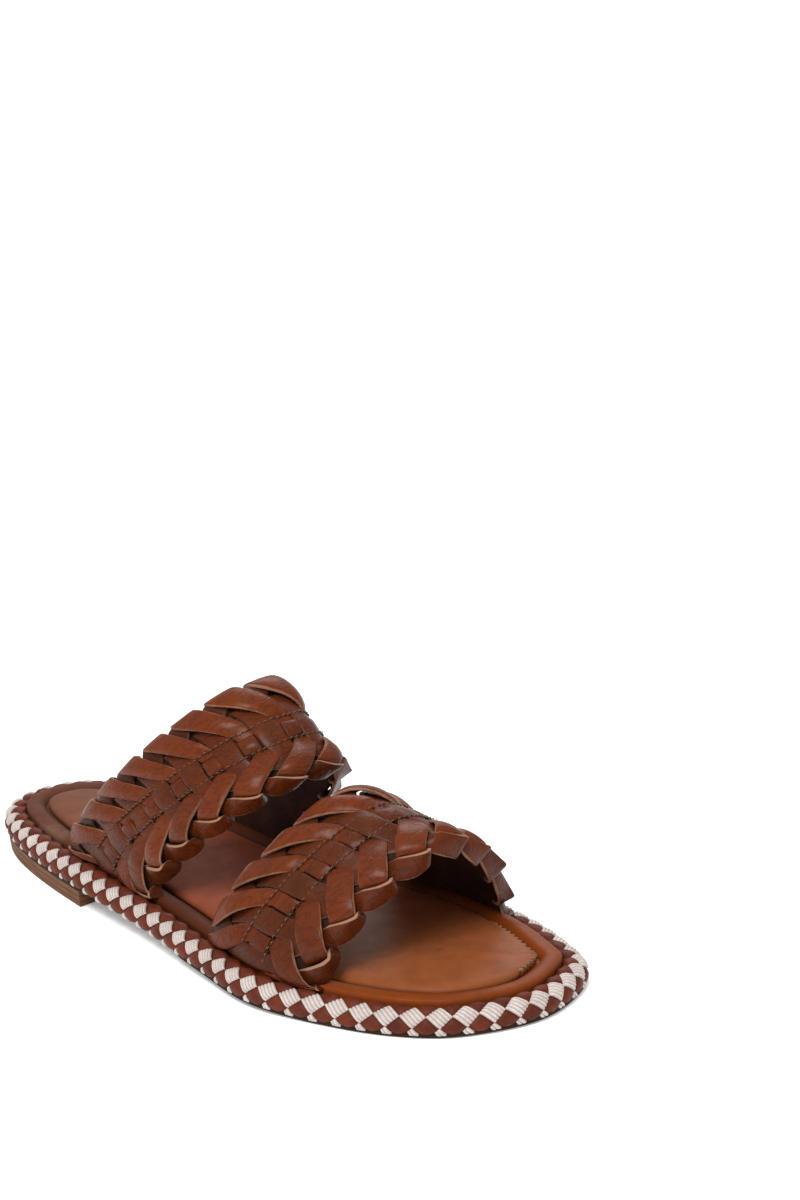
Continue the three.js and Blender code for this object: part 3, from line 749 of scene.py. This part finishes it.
def foot_x(y, inner_side):
    """Where a strap's foot stands across the sole, on the outer or the inner side."""
    ahead = np.roll(FOOT_CURVE, -1, 0)
    cross = (FOOT_CURVE[:, 1] - y) * (ahead[:, 1] - y) <= 0
    a, b = FOOT_CURVE[cross], ahead[cross]
    x = a[:, 0] + (b[:, 0] - a[:, 0]) * (y - a[:, 1]) / (b[:, 1] - a[:, 1])
    return x.max() if inner_side else x.min()


class StrapForm:
    """A strap's middle surface: u runs along it from its top, v across it towards the toe."""

    U_REACH, V_REACH, STEP = 150, 26, 1.0

    def __init__(self, rows, height, shift, powers):
        self.u = np.arange(-self.U_REACH, self.U_REACH + 0.1, self.STEP)
        self.v = np.arange(-self.V_REACH, self.V_REACH + 0.1, self.STEP)
        grid, self.low, self.high = [], [], []
        for v in self.v:
            t = v / (STRAP_WIDTH / 2)
            first, middle, last = (np.array(row) for row in rows)
            foot, share, lean = middle + (last - first) / 2 * t + (last + first - 2 * middle) / 2 * t * t
            arc, low, high = self.arc(foot, share * height, lean, shift, powers)
            grid.append(arc)
            self.low.append(low)
            self.high.append(high)
        self.points = np.stack(grid, 1)
        along = np.gradient(self.points, axis=0)
        over = np.gradient(self.points, axis=1)
        normal = np.cross(over, along)
        self.normals = normal / np.linalg.norm(normal, axis=2, keepdims=True)

    def arc(self, foot, height, lean, shift, powers):
        """One line over the foot, by its length from the top, and where its two feet are."""
        foot_y = along_y(foot)
        left, right = foot_x(foot_y, False), foot_x(foot_y, True)
        apex = (left + right) / 2 + shift
        angle = np.pi * np.linspace(ARC_END, 1 - ARC_END, ARC_POINTS)
        inner = angle > np.pi / 2
        power = 2 / np.where(inner, powers[1], powers[0])
        reach = np.where(inner, right - apex, apex - left)
        up = height * np.abs(np.sin(angle)) ** power
        out = reach * np.abs(np.cos(angle)) ** power
        y = foot_y - lean * up**2 / (up + LEAN_START)
        curve = np.column_stack((apex + np.where(inner, out, -out), y, STRAP_FOOT + up + under(y)))
        down = np.array((0, 0, SLOT_REACH))
        curve = np.vstack((curve[0] - down, curve, curve[-1] - down))
        steps = np.r_[0, np.cumsum(np.linalg.norm(np.diff(curve, axis=0), axis=1))]
        steps -= steps[ARC_POINTS // 2 + 1]
        arc = np.column_stack([np.interp(self.u, steps, curve[:, k]) for k in range(3)])
        return arc, steps[1], steps[-2]

    def foot_level(self, v):
        """The u of both feet."""
        return np.interp(v, self.v, self.low), np.interp(v, self.v, self.high)

    def at(self, u, v, height):
        """Points at a height above the middle surface, in the frame's millimetres."""
        i = np.clip((u + self.U_REACH) / self.STEP, 0, len(self.u) - 1.001)
        j = np.clip((v + self.V_REACH) / self.STEP, 0, len(self.v) - 1.001)
        a, b = np.floor(i).astype(int), np.floor(j).astype(int)
        s, t = (i - a)[..., None], (j - b)[..., None]
        found = []
        for table_of in (self.points, self.normals):
            low = table_of[a, b] * (1 - t) + table_of[a, b + 1] * t
            high = table_of[a + 1, b] * (1 - t) + table_of[a + 1, b + 1] * t
            found.append(low * (1 - s) + high * s)
        return found[0] + found[1] * np.asarray(height)[..., None]

    def woven(self, u, v, height):
        """As at, but pressed flatter where the strap goes down into its slots."""
        low, high = self.foot_level(v)
        u = low + FOOT_GIVE * np.logaddexp(0, (u - low) / FOOT_GIVE)
        u = high - FOOT_GIVE * np.logaddexp(0, (high - u) / FOOT_GIVE)
        near = np.minimum(u - low, high - u)
        press = FOOT_PRESS + (1 - FOOT_PRESS) * np.clip(near / PRESS_LENGTH, 0, 1) ** PRESS_POWER
        return self.at(u, v, STRAP_WALL / 2 + (height - STRAP_WALL / 2) * press)


# One repeat of the weave, in millimetres from the middle of its small square: u, v of a strip's
# left edge, u, v of its right edge, the heights of its top at both edges, its camber
TOE_FLOAT = (
    (0.6, 2.9, 7.2, 5.9, 1.9, 1.9, 0.0),
    (-1.4, 5.1, 5.2, 8.7, 2.6, 2.4, 0.1),
    (-3.9, 7.7, 2.6, 11.8, 3.8, 3.6, 0.4),
    (-6.4, 10.3, 0.0, 14.8, 4.6, 4.7, 0.6),
    (-8.8, 12.9, -2.5, 17.8, 4.9, 5.1, 0.5),
    (-10.6, 14.9, -4.4, 20.0, 4.5, 4.7, 0.3),
    (-11.6, 16.0, -5.4, 21.1, 3.0, 3.2, 0.1),
    (-12.0, 16.5, -5.8, 21.6, 1.2, 1.4, 0.0),
)
TOE_RETURN = (
    (-3.3, 19.8, -2.6, 18.8, 2.6, -2.4, 0.0),
    (-3.7, 21.4, -3.4, 20.8, 4.6, -2.8, 0.0),
    (-5.1, 22.3, -5.4, 22.4, 5.1, -2.6, 0.3),
    (-7.4, 21.0, -8.6, 22.8, 4.8, -2.2, 0.6),
    (-9.7, 19.0, -12.2, 22.4, 4.7, -1.6, 0.8),
    (-11.9, 16.9, -15.2, 21.0, 4.6, -0.5, 0.8),
    (-13.4, 15.1, -17.2, 18.9, 3.1, 0.8, 0.4),
    (-15.0, 13.2, -18.8, 17.2, 2.3, 1.7, 0.2),
    (-18.5, 9.0, -24.0, 12.6, 2.0, 2.0, 0.1),
    (-22.0, 6.0, -27.0, 10.2, 1.9, 1.9, 0.0),
)
HEEL_FLOAT = (
    (3.4, -3.0, -2.2, -2.9, 1.9, 1.9, 0.0),
    (2.6, -5.6, -3.4, -4.8, 2.2, 2.3, 0.1),
    (1.2, -8.3, -5.6, -7.0, 3.3, 3.8, 0.5),
    (-1.9, -12.0, -9.4, -10.5, 4.3, 4.8, 0.6),
    (-4.6, -15.2, -13.0, -13.8, 4.4, 4.6, 0.4),
    (-6.4, -17.4, -16.0, -16.6, 3.5, 3.7, 0.2),
    (-7.2, -18.5, -17.0, -18.1, 1.9, 1.9, 0.0),
    (-7.2, -18.7, -17.2, -18.4, 0.4, 0.3, 0.0),
)
HEEL_RETURN = (
    (-6.8, -17.6, -17.0, -17.4, -0.2, -0.2, 0.0),
    (-7.2, -18.2, -17.4, -18.0, 1.3, 1.3, 0.1),
    (-8.8, -16.9, -18.6, -16.6, 2.3, 2.4, 0.2),
    (-12.2, -13.4, -20.2, -15.0, 2.4, 2.6, 0.2),
    (-16.4, -9.6, -22.4, -12.6, 2.1, 2.3, 0.2),
    (-21.2, -5.4, -26.4, -9.0, 1.8, 1.8, 0.0),
)
CENTRE_BAND = (
    (-5.6, -12.6, -12.9, -12.0, 2.0, 2.0, 0.0),
    (-3.9, -8.4, -11.4, -8.2, 2.5, 2.5, 0.1),
    (-3.1, -4.7, -10.8, -5.0, 2.6, 2.6, 0.2),
    (-2.9, -1.0, -10.6, -1.4, 3.0, 3.0, 0.3),
    (-2.9, 2.2, -10.4, 1.8, 2.9, 2.9, 0.2),
    (-2.4, 4.6, -9.6, 4.8, 2.5, 2.5, 0.1),
    (-0.9, 9.6, -7.9, 10.6, 2.0, 2.0, 0.0),
)
SMALL_SQUARE = (
    (2.75, -2.6, -2.45, -2.6, 2.5, 2.5, 0.0),
    (2.75, -1.9, -2.45, -1.9, 2.75, 2.75, 0.2),
    (2.75, 0.0, -2.45, 0.0, 2.85, 2.85, 0.3),
    (2.75, 2.0, -2.45, 2.0, 2.75, 2.75, 0.2),
    (2.75, 3.3, -2.45, 3.3, 2.4, 2.4, 0.0),
)
# a strip's table, its points along, its colour from 0 dark to 1 light, the paleness of its cut
# edges, and the side it faces; the two returns' darker colours are painted shade, where they fold
# round and pass under the floats, and the other differences are the strips' own tones
STRIPS = (
    (TOE_FLOAT, 19, 0.9, 0.66, (0, 0, 1)),
    (TOE_RETURN, 29, 0.6, 1.0, (0, 1, 1)),
    (HEEL_FLOAT, 19, 0.95, 0.7, (0, 0, 1)),
    (HEEL_RETURN, 15, 0.3, 0.5, (0, 0, 1)),
    (CENTRE_BAND, 15, 0.5, 0.5, (0, 0, 1)),
    (SMALL_SQUARE, 9, 0.55, 0.5, (0, 0, 1)),
)
# half of a strip's section: place across from 0 to 1, share of its thickness below its top, and 1
# on its cut edge
HALF_SECTION = (
    (0.45, 0.0, 0.0),
    (0.84, 0.01, 0.0),
    (0.94, 0.06, 0.5),
    (1.0, 0.24, 1.0),
    (1.0, 0.8, 1.0),
    (0.94, 1.0, 0.4),
    (0.5, 1.0, 0.0),
)
OTHER_HALF = tuple((-across, depth, cut) for across, depth, cut in reversed(HALF_SECTION))
SECTION = np.array(((0.0, 0.0, 0.0), *HALF_SECTION, *OTHER_HALF))
END_CUT = 0.6


def smoothed(table, stations):
    """The rows of a strip's table on an even, smooth path."""
    table = np.array(table, dtype=float)
    grown = np.vstack((2 * table[0] - table[1], table, 2 * table[-1] - table[-2]))
    spots = np.linspace(0, len(table) - 1, stations)
    low = np.minimum(spots.astype(int), len(table) - 2)
    t = (spots - low)[:, None]
    a, b, c, d = (grown[low + k] for k in range(4))
    return 0.5 * (2 * b + (c - a) * t + (2 * a - 5 * b + 4 * c - d) * t**2 + (3 * b - a - 3 * c + d) * t**3)


class Weave:
    """Collects the strips of one strap in one mesh."""

    def __init__(self, form, seed):
        self.form = form
        self.random = np.random.default_rng(seed)
        self.points, self.faces = [], []
        self.cut, self.shade, self.tint, self.path, self.side = [], [], [], [], []
        self.count = 0

    def strip(self, table, stations, shade, pale, facing, start):
        """One closed strip, unless it lies wholly below the strap's feet."""
        wander = self.random.normal(0, 1, 8)
        rows = smoothed(table, stations)
        rows[:, [0, 2]] += start + wander[0] * VARY_ALONG
        rows[:, [1, 3]] -= WEAVE_SHIFT
        swell = np.sin(np.linspace(0, np.pi, stations))
        rows[:, 4:6] += swell[:, None] * wander[1] * VARY_HEIGHT
        rows[:, [1, 3]] += swell[:, None] * wander[2] * VARY_ACROSS
        turns = np.linspace(0, RIPPLES * 2 * np.pi, stations)
        phase = turns[:, None] + self.random.normal(0, 3, 4)[None, :]
        rows[:, [4, 5]] += np.sin(phase[:, :2]) * RIPPLE_HEIGHT * swell[:, None]
        rows[:, [1, 3]] += np.sin(phase[:, 2:]) * RIPPLE_SIDE
        low, high = self.form.foot_level(rows[:, 1])
        reach = rows[:, [0, 2]]
        if (reach.max(1) < low - 1).all() or (reach.min(1) > high + 1).all():
            return
        across, depth, cut = SECTION.T
        half = (1 - across[None, :]) / 2
        u = rows[:, 0:1] * (1 - half) + rows[:, 2:3] * half
        v = rows[:, 1:2] * (1 - half) + rows[:, 3:4] * half
        camber = rows[:, 6:7] * (1 - across[None, :] ** 2)
        tilt = wander[3] * VARY_TILT * across[None, :] * swell[:, None]
        top = rows[:, 4:5] * (1 - half) + rows[:, 5:6] * half
        shell = np.stack((u, v, top + camber + tilt), -1)
        along = np.gradient((shell[:, 0] + shell[:, len(SECTION) // 2]) / 2, axis=0)
        over = rows[:, [0, 1, 4]] - rows[:, [2, 3, 5]]
        normal = np.cross(along, over)
        normal /= np.linalg.norm(normal, axis=1)[:, None]
        normal *= np.sign(facing @ normal.sum(0))
        shell -= depth[None, :, None] * STRIP_THICKNESS * normal[:, None, :]
        points = self.form.woven(shell[..., 0], shell[..., 1], shell[..., 2])
        sides = len(SECTION)
        self.faces += tube_faces(self.count, sides, stations)
        self.points.append(points.reshape(-1, 3))
        ends = np.zeros((stations, 1))
        ends[[0, -1]] = END_CUT
        self.cut.append(np.maximum(np.tile(cut, (stations, 1)), ends).ravel() * pale)
        self.shade.append(np.full(stations * sides, shade + wander[4] * VARY_SHADE))
        self.tint.append(np.full(stations * sides, 0.5 + wander[5] * VARY_TINT))
        steps = np.r_[0, np.cumsum(np.linalg.norm(np.diff(points[:, 0], axis=0), axis=1))]
        self.path.append(np.repeat(steps + self.count, sides) * MM)
        self.side.append(np.tile(across, stations) * 2 * MM)
        self.count += stations * sides


leather = Finish("woven_strap_leather", 0.45)
spot = leather.place()
cloud = leather.noise(spot, 15, 3)
mottle = leather.noise(spot, 4.2, 4)
pores = leather.noise(spot, 0.75, 3)
strip_spot = leather.node("ShaderNodeCombineXYZ", {}, leather.trait("path"), leather.trait("side"), 0.0)
crease = (leather.noise(strip_spot, 4.5, 3, 0.6) - 0.5).math("ABSOLUTE").clip(0.05, 0.0)
fold = leather.noise(strip_spot, 5.5, 2)
# painted shade: the strips grow darker towards the bottom of the straps, from 34 mm down to 10 mm
painted_low_shade = leather.along(2).clip(34, 10)
shade = leather.trait("shade") + (cloud - 0.5) * 0.5 + (mottle - 0.5) * 0.35 - painted_low_shade * 0.24
grain_colour = leather.mix(shade.clip(0.0, 1.1), rgb("#35190a"), rgb("#5f280b"))
tint = (leather.trait("tint") - 0.25).clip(0, 0.6) * 0.3
grain_colour = leather.mix(tint, grain_colour, rgb("#551d0c"))
# painted shade: the strips are darker along their crease lines
grain_colour = leather.mix(crease * 0.35, grain_colour, rgb("#2c1206"))
fibres = (leather.trait("cut") + (mottle - 0.5) * 0.5).clip(0.35, 0.8)
leather.colour(leather.mix(fibres * 0.8, grain_colour, rgb("#94705a")))
leather.roughness(0.25 + mottle * 0.22 + fibres * 0.3)
leather.relief(pores * 0.35 + mottle * 0.7 + fold * 1.6 - crease * 0.5, 0.3, 0.8)
leather.constant("Specular IOR Level", 0.05)
leather.constant("Coat Weight", 0.14)
leather.constant("Coat Roughness", 0.26)

lining = Finish("strap_lining_leather", 0.6)
spot = lining.place()
cloud = lining.noise(spot, 11, 3)
pores = lining.noise(spot, 0.9, 3)
lining.colour(lining.mix((cloud * 1.3 - 0.3).clip(0, 1), rgb("#221008"), rgb("#452312")))
lining.roughness(0.6 + pores * 0.2)
lining.constant("Specular IOR Level", 0.15)
lining.relief(pores, 0.2)

thread = Finish("tan_thread", 0.7)
twist = thread.noise(thread.place(), 0.5, 2)
thread.colour(thread.mix(twist, rgb("#3a2012"), rgb("#75502f")))
thread.relief(twist, 0.1)
# painted shade: the needle holes are near-black discs sunk into the weave, in place of the shade inside the
# holes
hole_finish = Finish("needle_holes", 0.9)
hole_shade_mottle = hole_finish.noise(hole_finish.place(), 1.5, 2)
hole_finish.colour(hole_finish.mix(hole_shade_mottle, rgb("#120805"), rgb("#2a140c")))


WALL_POINTS, WALL_STATIONS = 11, 81
WALL_ROUND, WALL_LIP, SLOT_GAP = 0.35, 0.4, 0.2


def strap_wall(name, form):
    """The wall inside the weave, with rounded edges, that goes down into the slots."""
    half = STRAP_WIDTH / 2 - WALL_MARGIN
    face = np.linspace(-half, half, WALL_POINTS)
    edge = half + WALL_ROUND
    upper = [(v, STRAP_WALL / 2) for v in face] + [(edge, WALL_LIP), (edge, -WALL_LIP)]
    section = np.array(upper + [(-v, -height) for v, height in upper])
    v, height = section.T
    low, high = form.foot_level(v)
    share = np.linspace(0, 1, WALL_STATIONS)[:, None]
    reach = SLOT_DEPTH - SLOT_GAP
    u = (low - reach) * (1 - share) + (high + reach) * share
    points = form.at(u, np.broadcast_to(v, u.shape), np.broadcast_to(height, u.shape))
    faces = tube_faces(0, len(section), WALL_STATIONS)
    mesh_piece(name, points.reshape(-1, 3), faces, lining, "strap_leather")
    bpy.ops.object.shade_smooth_by_angle(angle=math.radians(50))


STITCH_LINES = (-4.7, 3.9)
STITCH_STEP, STITCH_RISE, STITCH_MARGIN, STITCH_SIDES = 2.0, 3.0, 2.5, 6
STITCH_VARY, HOLE_RADIUS, HOLE_VARY = 0.12, 0.3, 0.05
# along a thread: place in its step, height above the weave, radius
THREAD_ROWS = np.array(
    (
        (0.35, -0.9, 0.12),
        (0.5, -0.25, 0.16),
        (1.0, 0.1, 0.18),
        (1.5, -0.25, 0.16),
        (1.65, -0.9, 0.12),
    )
)
# a hole's two rings: share of its radius, height above the weave
HOLE_ROWS = np.array(((1.0, -1.2), (0.75, -0.16)))


def stitches(name, form, seed):
    """Short tan threads between needle holes along both sides of the strap's middle."""
    random = np.random.default_rng(seed)
    thread_points, thread_faces, hole_points, hole_faces = [], [], [], []
    angle = np.linspace(0, 2 * np.pi, STITCH_SIDES, endpoint=False)
    place, lifts, radius = THREAD_ROWS.T
    share, hole_height = HOLE_ROWS.T
    low, high = form.foot_level(0.0)
    for line in STITCH_LINES:
        v0 = line - WEAVE_SHIFT
        u = low + STITCH_MARGIN
        while u < high - STITCH_MARGIN:
            shift_u, shift_v, lift = random.normal(0, STITCH_VARY, 3)
            around_v = v0 + shift_v + radius[:, None] * np.cos(angle)[None, :]
            around_h = (STITCH_RISE + lift + lifts)[:, None] + radius[:, None] * np.sin(angle)[None, :]
            around_u = np.broadcast_to((u + shift_u + place)[:, None], around_v.shape)
            thread_faces += tube_faces(len(thread_points) * around_v.size, STITCH_SIDES, len(place))
            thread_points.append(form.woven(around_u, around_v, around_h).reshape(-1, 3))
            size = HOLE_RADIUS + random.normal(0, HOLE_VARY)
            disc_u = u + share[:, None] * size * np.cos(angle)[None, :]
            disc_v = v0 + share[:, None] * size * np.sin(angle)[None, :]
            disc_h = np.broadcast_to((STITCH_RISE + hole_height)[:, None], disc_u.shape)
            hole_faces += tube_faces(len(hole_points) * disc_u.size, STITCH_SIDES, len(share))
            hole_points.append(form.woven(disc_u, disc_v, disc_h).reshape(-1, 3))
            u += STITCH_STEP
    mesh_piece(name + "_stitches", np.vstack(thread_points), thread_faces, thread, "strap_leather")
    bpy.ops.object.shade_smooth()
    mesh_piece(name + "_needle_holes", np.vstack(hole_points), hole_faces, hole_finish, "strap_leather")


# name, shape, node in the CAD, seed of its small differences
STRAPS = (
    ("rear", REAR_STRAP, "rear_strap", 3),
    ("front", FRONT_STRAP, "front_strap", 8),
)
# repeats past the feet that can still reach the strap
REPEATS_BEFORE, REPEATS_AFTER = 1, 4
for name, shape, node, seed in STRAPS:
    form = StrapForm(**shape)
    strap_wall(name + "_strap_wall", form)
    weave = Weave(form, seed)
    low, high = form.foot_level(0.0)
    first, last = int(low // STRAND_PITCH), int(high // STRAND_PITCH)
    for k in range(first - REPEATS_BEFORE, last + REPEATS_AFTER):
        for table, stations, tone, pale, facing in STRIPS:
            weave.strip(table, stations, tone, pale, facing, k * STRAND_PITCH)
    strips = mesh_piece(
        name + "_strap_strips",
        np.vstack(weave.points),
        weave.faces,
        leather,
        "strap_leather",
        cut=np.concatenate(weave.cut),
        shade=np.concatenate(weave.shade),
        tint=np.concatenate(weave.tint),
        path=np.concatenate(weave.path),
        side=np.concatenate(weave.side),
    )
    bpy.ops.object.shade_smooth_by_angle(angle=math.radians(55))
    stitches(name, form, seed + 1)
    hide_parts(node)
